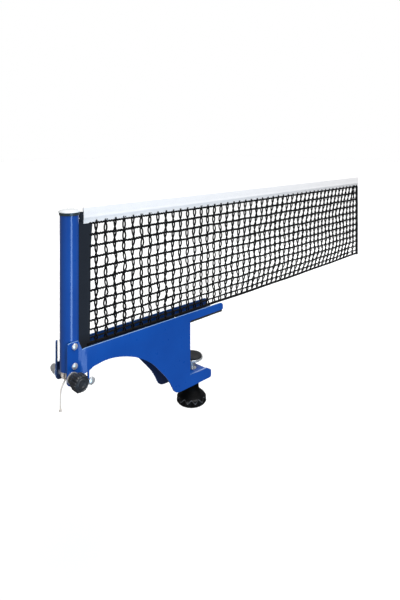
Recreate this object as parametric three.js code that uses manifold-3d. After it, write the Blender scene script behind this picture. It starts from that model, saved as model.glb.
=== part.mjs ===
import * as THREE from 'three';
import { mergeVertices } from 'three/addons/utils/BufferGeometryUtils.js';
import Module from 'manifold-3d';

// A table tennis net clamp: a sheet-steel bracket with a screw jaw, its net post, and a panel of its net.
// Millimetres, +Z up. The origin is the middle of the upper jaw pad's underside, on the table top.
// +X runs along the net towards the middle of the table, and +Y is away from the front side plate.

// ---- Driving dimensions ----
const GAP = 0.3; // clearance left between pieces that touch
const ROUND = 32; // sides of a round piece

// The jaw and the two side plates
const SHEET = 1.6;
const PLATE_OUTER_Y = 14.8;
const FLANGE_OUTER_Y = 11.4;
const JAW_BACK_X = -30;
const JAW_TIP_X = 29.5;
const PAD_THICK = 2.3;
const ARM_LOW_Z = PAD_THICK + GAP;
const PLATE_TOP_Z = 11.6;
const LOWER_ARM_TOP_Z = -63.6;
const LOWER_ARM_LOW_Z = -77.6;
const LOWER_TIP_X = 7;

// The post and the left end of the plates, which laps it
const POST_X = -187;
const POST_R = 9.5;
const POST_WALL = 1.5;
const POST_LOW_Z = -9.6;
const POST_TOP_Z = 148.5;
const SLOT_HALF = 2.5;
const FLANGE_TOP_Z = 21;
const FLANGE_LEFT_X = -196.2;
const FLANGE_RIGHT_X = -183.6;
const SHOULDER_X = -175.8;
const RIVET_X = -188;
const RIVET_Z = [-2.7, 16.8];
const RIVET_R = 2;

// The tension spindle below the post
const SPINDLE_X = -190.8;
const SPINDLE_Z = -13.6;
const SPINDLE_R = 3;
const CORD_R = 0.85;

// The clamp screw
const SCREW_X = -13.4;
const SCREW_R = 3.8;
const PAD_FACE_Z = -47;
const WHEEL_TOP_Z = -79.6;
const WHEEL_LOW_Z = -108.6;
const WHEEL_R = 19;

// The net
const NET_TOP_Z = 152.5;
const TAPE_HEIGHT = 17;
const TAPE_START_X = -170.9;
const NET_END_X = 426;
const BAND_RIGHT_X = -163;
const CORD_Z = 141.5;
const BOTTOM_CORD_Z = 9;
const BOTTOM_CORD_R = 1.3;
const BAND_LOW_Z = 7.4;
const SLEEVE_X = -184.5;
const SLEEVE_R = 3.4;
const ROD_R = 2;
const FAR_BAND_X = 421;

// ---- Finishes ----
const blue = { color: 0x1450a6, roughness: 0.35, metalness: 0.2 };
const zinc = { color: 0xc8ccd0, roughness: 0.3, metalness: 1 };
const black = { color: 0x15161a, roughness: 0.4, metalness: 0 };
const rubber = { color: 0x1a1a1c, roughness: 0.9, metalness: 0 };
const darkFabric = { color: 0x26282c, roughness: 0.95, metalness: 0 };
const whiteFabric = { color: 0xf2f2f4, roughness: 0.9, metalness: 0 };

// ---- Solid helpers ----
const wasm = await Module();
wasm.setup();

function mergedIndexed(geometry) {
  const bare = geometry.clone();
  bare.deleteAttribute('normal');
  bare.deleteAttribute('uv');
  const merged = mergeVertices(bare, 1e-4);
  const kept = [];
  for (let i = 0; i < merged.index.count; i += 3) {
    const [a, b, c] = [0, 1, 2].map((k) => merged.index.getX(i + k));
    if (a !== b && b !== c && c !== a) kept.push(a, b, c);
  }
  merged.setIndex(kept);
  return merged;
}

function signedVolume(geometry) {
  const [a, b, c] = [new THREE.Vector3(), new THREE.Vector3(), new THREE.Vector3()];
  let total = 0;
  for (let i = 0; i < geometry.index.count; i += 3) {
    a.fromBufferAttribute(geometry.attributes.position, geometry.index.getX(i));
    b.fromBufferAttribute(geometry.attributes.position, geometry.index.getX(i + 1));
    c.fromBufferAttribute(geometry.attributes.position, geometry.index.getX(i + 2));
    total += a.dot(b.cross(c)) / 6;
  }
  return total;
}

function toSolid(geometry) {
  const merged = mergedIndexed(geometry);
  const triangles = Uint32Array.from(merged.index.array);
  if (signedVolume(merged) < 0) triangles.reverse();
  return new wasm.Manifold(new wasm.Mesh({
    numProp: 3,
    vertProperties: Float32Array.from(merged.attributes.position.array),
    triVerts: triangles,
  }));
}

function toGeometry(solid) {
  const mesh = solid.getMesh();
  const geometry = new THREE.BufferGeometry();
  geometry.setAttribute('position', new THREE.BufferAttribute(Float32Array.from(mesh.vertProperties), 3));
  geometry.setIndex(new THREE.BufferAttribute(Uint32Array.from(mesh.triVerts), 1));
  geometry.computeVertexNormals();
  return geometry;
}

// Turns a geometry drawn in (a, b, c) so that c lies along the given axis.
const alongX = new THREE.Matrix4().makeBasis(
  new THREE.Vector3(0, 1, 0), new THREE.Vector3(0, 0, 1), new THREE.Vector3(1, 0, 0),
);
const alongY = new THREE.Matrix4().makeBasis(
  new THREE.Vector3(0, 0, 1), new THREE.Vector3(1, 0, 0), new THREE.Vector3(0, 1, 0),
);

function prism(shape, low, high, turn) {
  const options = { depth: high - low, bevelEnabled: false, curveSegments: 12 };
  const geometry = new THREE.ExtrudeGeometry(shape, options).translate(0, 0, low);
  if (turn) geometry.applyMatrix4(turn);
  return toSolid(geometry);
}

// prismX takes a shape in (y, z), prismY one in (z, x) and prismZ one in (x, y).
const prismX = (shape, low, high) => prism(shape, low, high, alongX);
const prismY = (shape, low, high) => prism(shape, low, high, alongY);
const prismZ = (shape, low, high) => prism(shape, low, high, null);

function box(x0, x1, y0, y1, z0, z1) {
  const geometry = new THREE.BoxGeometry(x1 - x0, y1 - y0, z1 - z0);
  return toSolid(geometry.translate((x0 + x1) / 2, (y0 + y1) / 2, (z0 + z1) / 2));
}

// A turned solid: the profile holds [radius, height] pairs from the axis back to the axis.
function turned(profile, sides = ROUND) {
  return new THREE.LatheGeometry(profile.map(([r, h]) => new THREE.Vector2(r, h)), sides);
}

const turnedZ = (profile, x, y, sides) => toSolid(turned(profile, sides).rotateX(Math.PI / 2).translate(x, y, 0));
const turnedY = (profile, x, z, sides) => toSolid(turned(profile, sides).translate(x, 0, z));

const rod = (r, low, high) => [[0, low], [r, low], [r, high], [0, high]];
const drillY = (x, z, r) => turnedY(rod(r, -40, 40), x, z);

function circle(x, y, r) {
  const shape = new THREE.Shape();
  shape.absarc(x, y, r, 0, Math.PI * 2, false);
  return shape;
}

function polygon(sides, acrossFlats, x, y) {
  const r = acrossFlats / 2 / Math.cos(Math.PI / sides);
  const corners = Array.from({ length: sides }, (_, i) => {
    const angle = (i / sides) * Math.PI * 2;
    return new THREE.Vector2(x + r * Math.cos(angle), y + r * Math.sin(angle));
  });
  return new THREE.Shape(corners);
}

// A closed outline with smooth lobes round a centre.
function lobed(lobes, r, depth, phase, x, y) {
  const steps = lobes * 8;
  const points = Array.from({ length: steps }, (_, i) => {
    const angle = (i / steps) * Math.PI * 2;
    const wave = Math.cos(lobes * (angle - phase));
    const reach = r - depth * (0.5 - 0.5 * wave) ** 1.6;
    return new THREE.Vector2(x + reach * Math.cos(angle), y + reach * Math.sin(angle));
  });
  return new THREE.Shape(points);
}

// ---- The object ----
const object = new THREE.Group();

function add(name, solid, finish) {
  const mesh = new THREE.Mesh(toGeometry(solid), new THREE.MeshStandardMaterial(finish));
  mesh.name = name;
  object.add(mesh);
}

// ---- Bracket: two bent side plates, and the three jaw plates welded between them ----
function sideOutline() {
  const outline = new THREE.Shape();
  const to = (x, z) => outline.lineTo(z, x);
  const bend = (cx, cz, x, z) => outline.quadraticCurveTo(cz, cx, z, x);
  outline.moveTo(-16, FLANGE_LEFT_X);
  to(FLANGE_LEFT_X, FLANGE_TOP_Z - 5);
  bend(FLANGE_LEFT_X, FLANGE_TOP_Z, FLANGE_LEFT_X + 4, FLANGE_TOP_Z);
  to(FLANGE_RIGHT_X, FLANGE_TOP_Z);
  to(-180, PLATE_TOP_Z);
  to(-176, PLATE_TOP_Z + 1.4);
  to(-120, PLATE_TOP_Z + 1.4);
  to(JAW_TIP_X - 6, PLATE_TOP_Z);
  bend(JAW_TIP_X, PLATE_TOP_Z, JAW_TIP_X, PLATE_TOP_Z - 5);
  to(JAW_TIP_X, ARM_LOW_Z + 2);
  bend(JAW_TIP_X, ARM_LOW_Z, JAW_TIP_X - 2, ARM_LOW_Z);
  to(JAW_BACK_X, ARM_LOW_Z);
  to(JAW_BACK_X, LOWER_ARM_TOP_Z);
  to(LOWER_TIP_X - 8, LOWER_ARM_TOP_Z);
  to(LOWER_TIP_X - 1, LOWER_ARM_TOP_Z - 4);
  bend(LOWER_TIP_X, LOWER_ARM_TOP_Z - 5, LOWER_TIP_X, LOWER_ARM_TOP_Z - 7);
  to(LOWER_TIP_X, LOWER_ARM_LOW_Z + 3);
  bend(LOWER_TIP_X, LOWER_ARM_LOW_Z, LOWER_TIP_X - 3, LOWER_ARM_LOW_Z);
  to(-45, LOWER_ARM_LOW_Z);
  bend(-55, LOWER_ARM_LOW_Z, -58, -71);
  // the arch between the jaw and the post
  const arch = [[-66, -57], [-78, -43], [-92, -29], [-112, -16.6], [-134, -9], [-152, -6.6], [-168, -8.4]];
  outline.splineThru(arch.map(([x, z]) => new THREE.Vector2(z, x)));
  to(-173, -10.8);
  bend(-180, -13, -182.5, -15);
  // the ear that carries the tension spindle
  bend(-184, -21, -188, -21.2);
  to(-192, -21.2);
  bend(FLANGE_LEFT_X, -21.2, FLANGE_LEFT_X, -16);
  return outline;
}

// The sheet seen from above: the main run steps in to the flange that laps the post.
function sheetPlan(side) {
  const outer = [
    [FLANGE_LEFT_X - 1, FLANGE_OUTER_Y], [FLANGE_RIGHT_X, FLANGE_OUTER_Y],
    [SHOULDER_X, PLATE_OUTER_Y], [JAW_TIP_X + 1, PLATE_OUTER_Y],
  ];
  const inner = outer.map(([x, y]) => [x + (y === PLATE_OUTER_Y ? 0.35 : 0), y - SHEET]).reverse();
  return new THREE.Shape([...outer, ...inner].map(([x, y]) => new THREE.Vector2(x, side * y)));
}

function sidePlate(side) {
  const sheet = prismZ(sheetPlan(side), LOWER_ARM_LOW_Z - 5, FLANGE_TOP_Z + 5);
  let plate = sheet.intersect(prismY(sideOutline(), -20, 20));
  for (const z of RIVET_Z) plate = plate.subtract(drillY(RIVET_X, z, RIVET_R + GAP));
  return plate.subtract(drillY(SPINDLE_X, SPINDLE_Z, SPINDLE_R + GAP));
}

// A slot beside the post leaves a thin upright finger at the left edge of the back flange.
function slottedBackPlate() {
  const slot = box(FLANGE_LEFT_X + 1.7, -191.3, 0, 20, -3, FLANGE_TOP_Z + 5);
  const fingerTop = box(FLANGE_LEFT_X - 1, FLANGE_LEFT_X + 2, 0, 20, FLANGE_TOP_Z - 2, FLANGE_TOP_Z + 5);
  return sidePlate(1).subtract(slot).subtract(fingerTop);
}

const innerY = PLATE_OUTER_Y - SHEET - GAP;
const lug = box(-174.6, -173, -PLATE_OUTER_Y, SHEET - PLATE_OUTER_Y, -24, -6);
add('side_plate_front', sidePlate(-1).add(lug), blue);
add('side_plate_back', slottedBackPlate(), blue);
add('upper_jaw_plate', box(JAW_BACK_X - 2, 24, -innerY, innerY, ARM_LOW_Z, ARM_LOW_Z + 2), blue);
add('jaw_back_plate', box(JAW_BACK_X - 2, JAW_BACK_X, -innerY, innerY, LOWER_ARM_TOP_Z + GAP, -GAP), blue);
const lowerPlateX = [JAW_BACK_X - 2, LOWER_TIP_X - 9];
const lowerPlate = box(...lowerPlateX, -innerY, innerY, LOWER_ARM_TOP_Z - 3, LOWER_ARM_TOP_Z);
const bushNeckR = 6;
add('lower_jaw_plate', lowerPlate.subtract(turnedZ(rod(bushNeckR + GAP, -80, -50), SCREW_X, 0)), blue);
add('upper_jaw_pad', box(JAW_BACK_X + GAP, JAW_TIP_X - 1.5, -PLATE_OUTER_Y, PLATE_OUTER_Y, 0, PAD_THICK), rubber);

// The threaded bush is a flanged sleeve, open right through for the screw.
const bushLow = LOWER_ARM_LOW_Z + 0.4;
const bushShoulder = LOWER_ARM_TOP_Z - 3 - GAP;
const bushProfile = [
  [SCREW_R + GAP, bushLow], [8, bushLow], [8, bushShoulder],
  [bushNeckR, bushShoulder], [bushNeckR, LOWER_ARM_TOP_Z - 0.2],
  [SCREW_R + GAP, LOWER_ARM_TOP_Z - 0.2], [SCREW_R + GAP, bushLow],
];
add('threaded_bush', turnedZ(bushProfile, SCREW_X, 0), zinc);

// ---- Post: a slotted tube, its cap, and the two rivets that go right through ----
function postTube() {
  const section = new THREE.Shape();
  const inner = POST_R - POST_WALL;
  const outerAngle = Math.asin(SLOT_HALF / POST_R);
  const innerAngle = Math.asin(SLOT_HALF / inner);
  section.absarc(POST_X, 0, POST_R, outerAngle, Math.PI * 2 - outerAngle, false);
  section.absarc(POST_X, 0, inner, Math.PI * 2 - innerAngle, innerAngle, true);
  let tube = prismZ(section, POST_LOW_Z, POST_TOP_Z);
  for (const z of RIVET_Z) tube = tube.subtract(drillY(RIVET_X, z, RIVET_R + GAP));
  return tube;
}
add('post_tube', postTube(), blue);

const capR = 10.8;
const capLow = 146.4;
const capTop = 151.9;
const capProfile = [
  [POST_R + GAP, capLow], [capR, capLow], [capR, capTop - 2.6], [10.2, capTop - 1.6],
  [7.5, capTop - 0.6], [3.8, capTop - 0.1], [0, capTop],
  [0, POST_TOP_Z + GAP], [POST_R + GAP, POST_TOP_Z + GAP], [POST_R + GAP, capLow],
];
const lugHead = [[0, -17.5], [2.4, -17.2], [3.8, -16.3], [4, -PLATE_OUTER_Y - GAP], [0, -PLATE_OUTER_Y - GAP]];
add('lug_screw', turnedY(lugHead, -171, -21.5, 24), zinc);
add('post_cap', turnedZ(capProfile, POST_X, 0), { color: 0x4a5252, roughness: 0.4, metalness: 0 });

function throughRivet(z) {
  const seat = FLANGE_OUTER_Y + GAP;
  const dome = [[3.4, seat], [3.1, seat + 0.9], [2, seat + 1.6], [0, seat + 1.9]];
  const back = [[RIVET_R, seat], ...dome];
  const front = back.map(([r, y]) => [r, -y]).reverse();
  return turnedY([...front, ...back], RIVET_X, z, 20);
}
add('rivet_lower', throughRivet(RIVET_Z[0]), zinc);
add('rivet_upper', throughRivet(RIVET_Z[1]), zinc);

// ---- Tension spindle: the bolt below the post that winds in the net's cord ----
const earFace = FLANGE_OUTER_Y + GAP;
const washerThick = 1.2;
const knobBack = -(earFace + washerThick + GAP);
const knobFront = -30.2;
const nutSeat = earFace + washerThick + GAP;
const nutTop = nutSeat + 12.8;
const boltProfile = rod(SPINDLE_R, knobFront + 2, nutTop - 3);
add('tension_spindle', turnedY(boltProfile, SPINDLE_X, SPINDLE_Z), zinc);

function washer(low, high) {
  const bore = SPINDLE_R + GAP;
  return turnedY([[bore, low], [6.2, low], [6.2, high], [bore, high], [bore, low]], SPINDLE_X, SPINDLE_Z, 24);
}
add('washer_front', washer(-earFace - washerThick, -earFace), zinc);
add('washer_back', washer(earFace, earFace + washerThick), zinc);

function tensionKnob() {
  const lobes = lobed(6, 8.9, 0.8, Math.PI / 2, SPINDLE_Z, SPINDLE_X);
  const grip = prismY(lobes, knobFront, knobFront + 10.4);
  const boss = turnedY(rod(5.6, knobFront + 9, knobBack), SPINDLE_X, SPINDLE_Z);
  const bore = turnedY(rod(SPINDLE_R + GAP, knobFront + 1.7, 0), SPINDLE_X, SPINDLE_Z);
  return grip.add(boss).subtract(bore);
}
add('tension_knob', tensionKnob(), { color: 0x2b2e31, roughness: 0.5, metalness: 0 });

function domeNut() {
  const hex = prismY(polygon(6, 10, SPINDLE_Z, SPINDLE_X), nutSeat, nutSeat + 5);
  const dome = turnedY(
    [[0, nutSeat + 1], [4.7, nutSeat + 1], [4.7, nutTop - 4.2], [3.9, nutTop - 1.6], [2.2, nutTop - 0.3], [0, nutTop]],
    SPINDLE_X, SPINDLE_Z,
  );
  const bore = turnedY(rod(SPINDLE_R + GAP, 0, nutTop - 2.6), SPINDLE_X, SPINDLE_Z);
  return hex.add(dome).subtract(bore);
}
add('dome_nut', domeNut(), zinc);

const windInner = SPINDLE_R + GAP;
const windOuter = windInner + 2 * CORD_R;
const windHalf = 3 * CORD_R;
const windProfile = [
  [windInner, -windHalf], [windOuter, -windHalf], [windOuter, windHalf],
  [windInner, windHalf], [windInner, -windHalf],
];
add('cord_winding', turnedY(windProfile, SPINDLE_X, SPINDLE_Z, 24), whiteFabric);

// ---- Cords ----
// Every stretch between two points gets the same number of steps, so close points make a fine bend.
function tubeAlong(points, r, stepsEach, sides) {
  const path = new THREE.CatmullRomCurve3(points.map((p) => new THREE.Vector3(...p)), false, 'centripetal');
  path.getPointAt = path.getPoint;
  path.getTangentAt = path.getTangent;
  const steps = stepsEach * (points.length - 1);
  const section = new THREE.Shape(Array.from({ length: sides }, (_, i) => {
    const angle = (i / sides) * Math.PI * 2;
    return new THREE.Vector2(r * Math.cos(angle), r * Math.sin(angle));
  }));
  return toSolid(new THREE.ExtrudeGeometry(section, { steps, bevelEnabled: false, extrudePath: path }));
}

// The tension cord runs in the net's tape, over into the post and down to the spindle.
const cordDropX = -191;
const tensionRoute = [
  [NET_END_X - 2, 0, CORD_Z], [200, 0, CORD_Z], [-100, 0, CORD_Z], [-176, 0, CORD_Z], [-187.6, 0, CORD_Z],
  [-189.6, 0, 140.9], [-190.7, 0, 139.2], [cordDropX, 0, 136], [cordDropX, 0, 70],
  [cordDropX, 0, 10], [cordDropX, 0, -4], [-190.6, 0, SPINDLE_Z + windOuter + GAP],
];
add('tension_cord', tubeAlong(tensionRoute, CORD_R, 3, 8), whiteFabric);

// The free tail leaves the winding between the ears and hangs straight down to its knot.
const tailRoute = [
  [-190.9, 1.6, -19.8], [-191.5, 1.9, -21.2], [-192.7, 2.4, -23.4], [-193.8, 3, -26.4], [-194.5, 3.5, -30],
  [-194.8, 3.8, -34], [-194.8, 4, -38], [-194.7, 4.1, -42], [-194.7, 4.1, -44.5], [-194.7, 4.1, -47.2],
];
add('cord_tail', tubeAlong(tailRoute, CORD_R, 2, 8), whiteFabric);
const tailEnd = tailRoute.at(-1);
const knotTop = tailEnd[2] - GAP;
const knotProfile = [[0, knotTop - 4.2], [1.1, knotTop - 3.8], [1.7, knotTop - 2.6], [1.7, knotTop - 1.4],
  [1.1, knotTop - 0.3], [0, knotTop]];
add('cord_end_knot', turnedZ(knotProfile, tailEnd[0], tailEnd[1], 12), whiteFabric);

// ---- Net: rod, side band, tape, mesh, bottom cord and far binding ----
function sleeveSection(x, tabTo) {
  const section = new THREE.Shape();
  const half = 0.8;
  const angle = Math.asin(half / SLEEVE_R);
  const way = Math.sign(tabTo - x);
  const start = way > 0 ? 0 : Math.PI;
  section.absarc(x, 0, SLEEVE_R, start + angle, start + Math.PI * 2 - angle, false);
  section.lineTo(tabTo, -way * half);
  section.lineTo(tabTo, way * half);
  section.holes.push(circle(x, 0, ROD_R + GAP));
  return section;
}

function nearBand() {
  const postFace = POST_X + POST_R + GAP;
  const sleeve = prismZ(sleeveSection(SLEEVE_X, BAND_RIGHT_X), 19.4, NET_TOP_Z - TAPE_HEIGHT - GAP);
  const upperSleeve = prismZ(sleeveSection(SLEEVE_X, TAPE_START_X - GAP), 130, 140.2);
  const head = box(POST_X + capR + GAP, TAPE_START_X - GAP, -1.7, 1.7, 138, 147.9);
  const foot = box(postFace, BAND_RIGHT_X, -0.8, 0.8, BAND_LOW_Z, 25);
  const channel = prismX(circle(0, CORD_Z, CORD_R + GAP), -188.5, -165);
  return sleeve.add(upperSleeve).add(head).add(foot).subtract(channel);
}
add('net_side_band', nearBand(), darkFabric);
add('net_rod', turnedZ(rod(ROD_R, 19.4, 139.4), SLEEVE_X, 0, 20), zinc);

const tapeLow = NET_TOP_Z - TAPE_HEIGHT;
const tape = box(TAPE_START_X, NET_END_X, -1.8, 1.8, tapeLow, NET_TOP_Z);
add('net_tape', tape.subtract(prismX(circle(0, CORD_Z, CORD_R + GAP), -200, 500)), whiteFabric);

const meshX = [BAND_RIGHT_X + GAP, FAR_BAND_X - GAP];
const meshLow = BOTTOM_CORD_Z + BOTTOM_CORD_R + GAP;
add('net_mesh', box(...meshX, -1, 1, meshLow, tapeLow - GAP), darkFabric);
add('net_bottom_cord', prismX(circle(0, BOTTOM_CORD_Z, BOTTOM_CORD_R), ...meshX), darkFabric);

add('net_far_band', box(FAR_BAND_X, NET_END_X, -0.8, 0.8, BAND_LOW_Z, tapeLow - GAP), darkFabric);

// ---- Clamp screw: pressure pad, screw and hand wheel ----
const cupBase = PAD_FACE_Z - 6;
const cupProfile = [
  [3.3, cupBase], [12.4, cupBase], [14.2, cupBase + 1.5], [14.4, cupBase + 3.6], [13.2, cupBase + 3.6],
  [13, cupBase + 1.5], [3.3, cupBase + 1.5], [3.3, cupBase],
];
add('pressure_cup', turnedZ(cupProfile, SCREW_X, 0), zinc);
const faceLow = cupBase + 1.5 + GAP;
const faceProfile = [
  [5.6, faceLow], [12.6, faceLow], [12.6, PAD_FACE_Z - 0.6], [12, PAD_FACE_Z], [0, PAD_FACE_Z],
  [0, faceLow + 2.6], [5.6, faceLow + 2.6], [5.6, faceLow],
];
add('pressure_pad', turnedZ(faceProfile, SCREW_X, 0), rubber);

// The neck turns in the cup, and the spring clip in its groove keeps the cup on.
const clipLow = faceLow;
const clipHigh = clipLow + 0.8;
function springClip() {
  const ring = prismZ(circle(SCREW_X, 0, 4.9), clipLow, clipHigh);
  const hole = prismZ(circle(SCREW_X, 0, 2.7), clipLow - 1, clipHigh + 1);
  const mouth = box(SCREW_X, SCREW_X + 6, -1.6, 1.6, clipLow - 1, clipHigh + 1);
  return ring.subtract(hole).subtract(mouth);
}
add('screw_clip', springClip(), zinc);

const headTop = -101.2;
const headLow = headTop - 5.3;
function clampScrew() {
  const shank = turnedZ([
    [0, headLow + 1], [SCREW_R, headLow + 1], [SCREW_R, cupBase - GAP], [3, cupBase - GAP],
    [3, clipLow - 0.1], [2.4, clipLow - 0.1], [2.4, clipHigh + 0.2], [3, clipHigh + 0.2],
    [3, clipHigh + 1], [0, clipHigh + 1],
  ], SCREW_X, 0);
  return shank.add(prismZ(polygon(6, 13, SCREW_X, 0), headLow, headTop));
}
add('clamp_screw', clampScrew(), zinc);

function handWheel() {
  const body = turnedZ([
    [0, -104], [15, -104], [17.2, -101], [17.2, -97.3], [13, -92.8], [9.8, -89.4],
    [9.4, WHEEL_TOP_Z - 1], [8.4, WHEEL_TOP_Z], [0, WHEEL_TOP_Z],
  ], SCREW_X, 0);
  const cone = turnedZ([[0, -105], [WHEEL_R, -105], [WHEEL_R, -99.2], [16.8, -97], [0, -97]], SCREW_X, 0, 48);
  const rim = cone.intersect(prismZ(lobed(12, WHEEL_R, 1.8, 0, SCREW_X, 0), -106, -96));
  const foot = turnedZ([
    [0, WHEEL_LOW_Z], [12.6, WHEEL_LOW_Z], [15.6, -106.4], [16.8, -103.4], [0, -103.4],
  ], SCREW_X, 0);
  const bore = turnedZ(rod(SCREW_R + GAP, -110, -70), SCREW_X, 0);
  const pocket = prismZ(polygon(6, 13.6, SCREW_X, 0), -110, headTop + GAP);
  return body.add(rim).add(foot).subtract(bore).subtract(pocket);
}
add('hand_wheel', handWheel(), black);

export default object;
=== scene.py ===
# %% [markdown]
# # A table tennis net clamp
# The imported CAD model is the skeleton: it fixes every size, every body and every joint. This lesson
# dresses it. Hard pieces are refined copies of the CAD solids, or are turned and swept again with
# finer rounds. Cloth pieces are folded strips, and the net is knitted by Geometry Nodes.

# %% Load the frame
import math

import bmesh
import bpy
import numpy as np
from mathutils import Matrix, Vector


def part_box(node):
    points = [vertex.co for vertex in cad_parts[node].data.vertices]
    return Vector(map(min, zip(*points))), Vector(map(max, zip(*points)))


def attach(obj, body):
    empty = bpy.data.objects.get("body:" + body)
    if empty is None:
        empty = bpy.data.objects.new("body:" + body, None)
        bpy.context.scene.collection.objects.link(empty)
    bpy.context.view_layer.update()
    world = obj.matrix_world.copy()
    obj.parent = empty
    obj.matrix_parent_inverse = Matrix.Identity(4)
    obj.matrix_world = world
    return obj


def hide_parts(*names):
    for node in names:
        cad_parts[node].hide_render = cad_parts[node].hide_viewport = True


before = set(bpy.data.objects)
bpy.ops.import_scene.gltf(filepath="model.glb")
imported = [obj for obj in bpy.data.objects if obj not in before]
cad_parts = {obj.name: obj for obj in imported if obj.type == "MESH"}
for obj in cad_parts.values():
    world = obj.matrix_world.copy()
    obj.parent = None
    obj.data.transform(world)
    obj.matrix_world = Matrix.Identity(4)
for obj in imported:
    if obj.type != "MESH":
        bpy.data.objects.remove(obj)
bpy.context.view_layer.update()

MM = 0.001


def span(node):
    """The node's lowest and highest corners, in millimetres."""
    low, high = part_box(node)
    return [v / MM for v in low], [v / MM for v in high]


# %% [markdown]
# ## The camera
# The lens stands level, so that uprights stay parallel, and the sensor is shifted down instead of
# tilting the camera. A net runs away from the post, so the eye is close and the lens fairly wide.

# %% Camera
EYE = Vector((-458.3, -449.7, 222.0)) * MM
TURN = math.radians(-45.66)
camera = bpy.data.objects.new("camera", bpy.data.cameras.new("camera"))
bpy.context.collection.objects.link(camera)
camera.location = EYE
camera.rotation_euler = (math.radians(90), 0, TURN)
camera.data.lens = 30.18
camera.data.shift_y = -0.2667
bpy.context.scene.camera = camera


# %% [markdown]
# ## Writing node trees as sums
# A socket is wrapped in a small class, so that `mask * 0.3 + 0.2` adds its own Math nodes. The same
# class serves shaders and Geometry Nodes, because both use the same Math node.

# %% Node helpers
class Link:
    """One output socket, with arithmetic."""

    def __init__(self, tree, socket):
        self.tree = tree
        self.socket = socket

    def math(self, operation, other=0.0, flipped=False):
        first, second = (other, self) if flipped else (self, other)
        return self.tree.node("ShaderNodeMath", {"operation": operation}, {0: first, 1: second})[0]

    def __add__(self, other):
        return self.math("ADD", other)

    __radd__ = __add__

    def __mul__(self, other):
        return self.math("MULTIPLY", other)

    __rmul__ = __mul__

    def __sub__(self, other):
        return self.math("SUBTRACT", other)

    def __rsub__(self, other):
        return self.math("SUBTRACT", other, flipped=True)

    def __truediv__(self, other):
        return self.math("DIVIDE", other)

    def sine(self):
        return self.math("SINE")

    def size(self):
        return self.math("ABSOLUTE")

    def above(self, edge, soft):
        """0 well below the edge, 1 well above it."""
        step = (self - edge) / soft + 0.5
        return self.tree.node("ShaderNodeClamp", {}, {"Value": step})[0]


class Tree:
    """A node tree with one method that makes any node."""

    def __init__(self, nodes):
        self.nodes = nodes

    def node(self, kind, settings, inputs):
        made = self.nodes.nodes.new(kind)
        for key, value in settings.items():
            if key == "stops":
                while len(made.color_ramp.elements) < len(value):
                    made.color_ramp.elements.new(0.5)
                for element, (place, colour) in zip(made.color_ramp.elements, value):
                    element.position = place
                    element.color = (*colour, 1)
            else:
                setattr(made, key, value)
        for key, value in inputs.items():
            if isinstance(value, Link):
                self.nodes.links.new(value.socket, made.inputs[key])
            else:
                made.inputs[key].default_value = value
        return [Link(self, socket) for socket in made.outputs]

    def mix(self, share, first, second):
        """Mixes two colours."""
        inputs = {0: share, 6: first, 7: second}
        return self.node("ShaderNodeMix", {"data_type": "RGBA"}, inputs)[2]

    def parts(self, vector):
        return self.node("ShaderNodeSeparateXYZ", {}, {0: vector})[:3]


# %% [markdown]
# ## Finishes
# Each finish starts from the same recipe: a base colour with slow variation, a roughness that noise
# breaks up, and a bump at the scale of the real surface. Patterns read Object coordinates in metres.
# Cloth and cords read their own UV map instead, which is laid in metres along the thread.

# %% Finish helpers
def rgb(red, green, blue):
    return (red, green, blue, 1)


class Finish(Tree):
    """A material on one Principled shader."""

    def __init__(self, name, **constants):
        self.material = bpy.data.materials.new(name)
        self.material.use_nodes = True
        super().__init__(self.material.node_tree)
        self.shader = self.nodes.nodes["Principled BSDF"]
        for key, value in constants.items():
            self.shader.inputs[key.replace("_", " ")].default_value = value

    def place(self):
        return self.node("ShaderNodeTexCoord", {}, {})[3]

    def cloth_place(self):
        return self.node("ShaderNodeUVMap", {"uv_map": "thread"}, {})[0]

    def noise(self, scale, detail=3.0, roughness=0.55, vector=None):
        inputs = {"Vector": vector or self.place(), "Scale": scale, "Detail": detail, "Roughness": roughness}
        return self.node("ShaderNodeTexNoise", {}, inputs)[0]

    def stretched(self, scale):
        """Object coordinates stretched by a scale for each axis."""
        inputs = {"Vector": self.place(), "Scale": scale}
        return self.node("ShaderNodeMapping", {}, inputs)[0]

    def set(self, socket, link):
        self.nodes.links.new(link.socket, self.shader.inputs[socket])

    def bump(self, height, depth):
        """Bump by a height of 0 to 1, with its depth in metres."""
        self.set("Normal", self.node("ShaderNodeBump", {}, {"Height": height, "Distance": depth})[0])


def enamel(name, deep, light, wear, coat=0.25):
    """Sprayed gloss enamel on sheet steel, with faint orange peel; wear is how far it is rubbed through."""
    f = Finish(name, Coat_Roughness=0.05, Coat_Weight=coat, Specular_IOR_Level=0.2)
    tone = f.noise(22.0, 4.0)
    paint = f.mix(tone.above(0.5, 0.5), deep, light)
    rub = (f.noise(420.0, 6.0, 0.7) * 0.6 + f.noise(60.0) * 0.4).above(0.76 - wear, 0.05)
    f.set("Base Color", f.mix(rub, paint, rgb(0.33, 0.36, 0.4)))
    f.set("Metallic", rub * 0.8)
    f.set("Roughness", f.noise(150.0, 5.0) * 0.22 + 0.2 + rub * 0.15)
    f.bump(f.noise(900.0, 2.0) * 0.7 + f.noise(2600.0) * 0.3 - rub * 0.4, 0.00006)
    return f.material


def bright_metal(name, colour, grain):
    """Plated steel: fine turning lines along one axis under a soft, cloudy shine."""
    f = Finish(name, Metallic=0.78)
    lines = f.noise(1.0, 3.0, 0.6, f.stretched(grain))
    cloud = f.noise(180.0, 4.0)
    f.set("Base Color", f.mix(cloud.above(0.55, 0.4), colour, rgb(*(0.8 * c for c in colour[:3]))))
    f.set("Roughness", lines * 0.2 + cloud * 0.2 + 0.12)
    f.bump(lines, 0.00003)
    return f.material


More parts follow.
